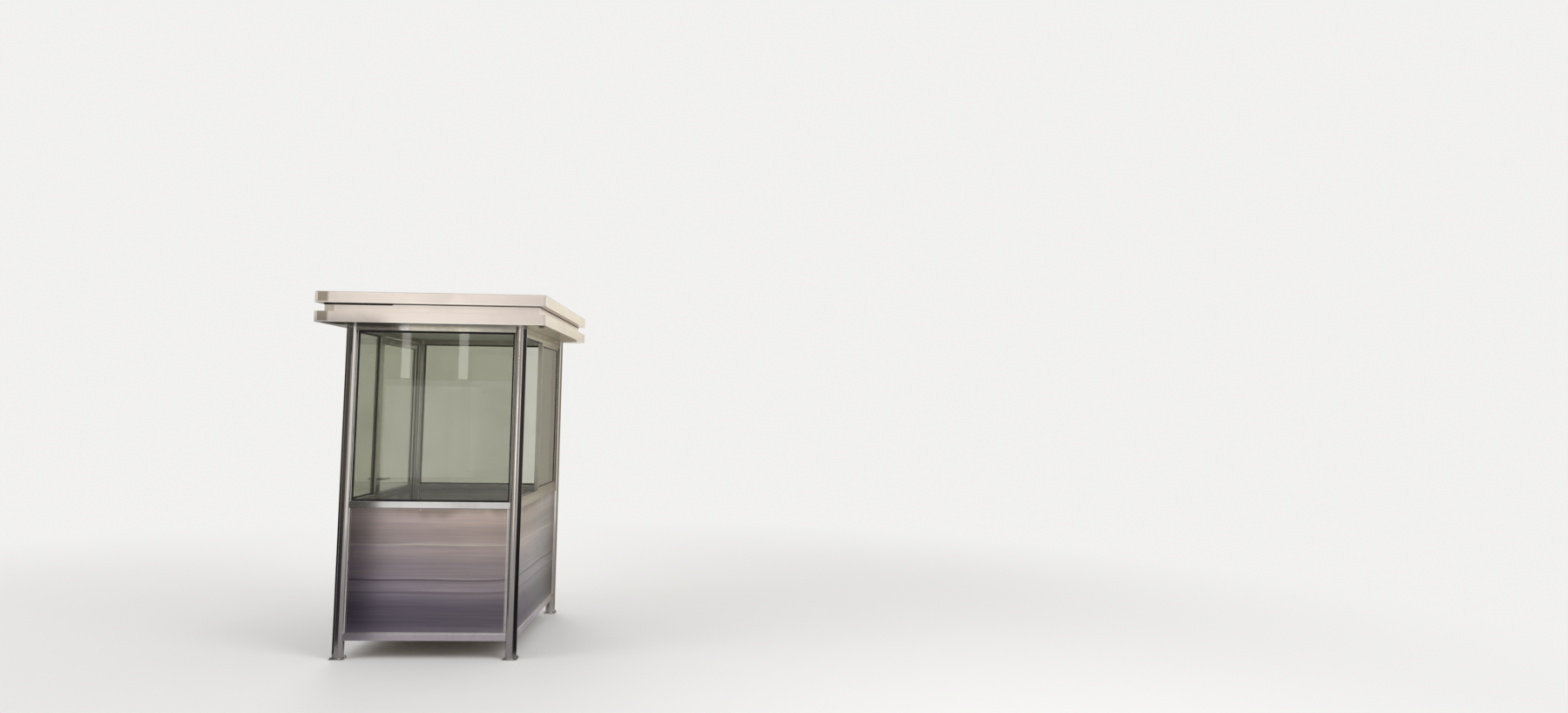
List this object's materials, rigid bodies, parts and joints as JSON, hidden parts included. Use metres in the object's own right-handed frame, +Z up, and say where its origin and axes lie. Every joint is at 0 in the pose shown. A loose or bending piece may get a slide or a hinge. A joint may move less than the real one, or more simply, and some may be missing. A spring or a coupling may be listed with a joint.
{
  "type": "stainless steel security guard booth",
  "caption": "Free-standing stainless steel guard booth on round columns, with glazed walls, a side serving window, a hinged door and a flat two-tier roof.",
  "frame": {"origin": "centre of the footprint on the ground, under the feet of the columns", "axes": "+X to the right seen from the front, +Z up, the front window faces -Y"},
  "size_m": [1.5, 2, 2.412],
  "materials": {
    "column_steel": "polished stainless steel tube",
    "panel_steel": "brushed stainless steel sheet",
    "rail_steel": "satin stainless steel tube",
    "roof_steel": "satin stainless steel sheet, folded",
    "frame_steel": "satin stainless steel section",
    "glazing_rubber": "black rubber glazing channel",
    "inner_steel": "primed steel tube",
    "hardware": "polished",
    "window_glass": "clear float glass with a faint green tint",
    "floor_covering": "grey vinyl on a board",
    "ceiling_lining": "off-white lining panel",
    "desk_board": "brown laminated board"
  },
  "bodies": {
    "booth": {"column_front_left": "column_steel", "column_front_right": "column_steel", "column_back_left": "column_steel", "column_back_right": "column_steel", "base_rails": "rail_steel", "floor_joists": "inner_steel", "floor_plate": "floor_covering", "front_panel": "panel_steel", "back_panel": "panel_steel", "right_panel": "panel_steel", "left_panel": "panel_steel", "front_sill": "rail_steel", "back_sill": "rail_steel", "right_sill": "rail_steel", "left_sill": "rail_steel", "head_rails": "rail_steel", "front_window_frame": "glazing_rubber", "front_glass": "window_glass", "back_window_frame": "glazing_rubber", "back_glass": "window_glass", "left_window_frame": "glazing_rubber", "left_glass": "window_glass", "right_track_frame": "frame_steel", "right_fixed_sash": "frame_steel", "right_fixed_glass": "window_glass", "right_sliding_sash": "frame_steel", "right_sliding_glass": "window_glass", "door_posts": "frame_steel", "hinge_pins": "hardware", "roof_frame": "inner_steel", "soffit": "roof_steel", "ceiling": "ceiling_lining", "roof_lower_band": "roof_steel", "roof_groove": "roof_steel", "roof_upper_band": "roof_steel", "roof_deck": "roof_steel", "desk_top": "desk_board", "desk_brackets": "inner_steel"},
    "door": {"door_leaf": "frame_steel", "door_panel": "panel_steel", "door_glass": "window_glass", "door_handle": "hardware", "hinge_knuckles": "hardware"}
  },
  "joints": [
    {"name": "door_hinge", "type": "hinge", "parent": "booth", "child": "door", "pos_m": [-0.589, 0.717, 0], "axis": [0, 0, -1], "range_deg": [0, 100]}
  ]
}
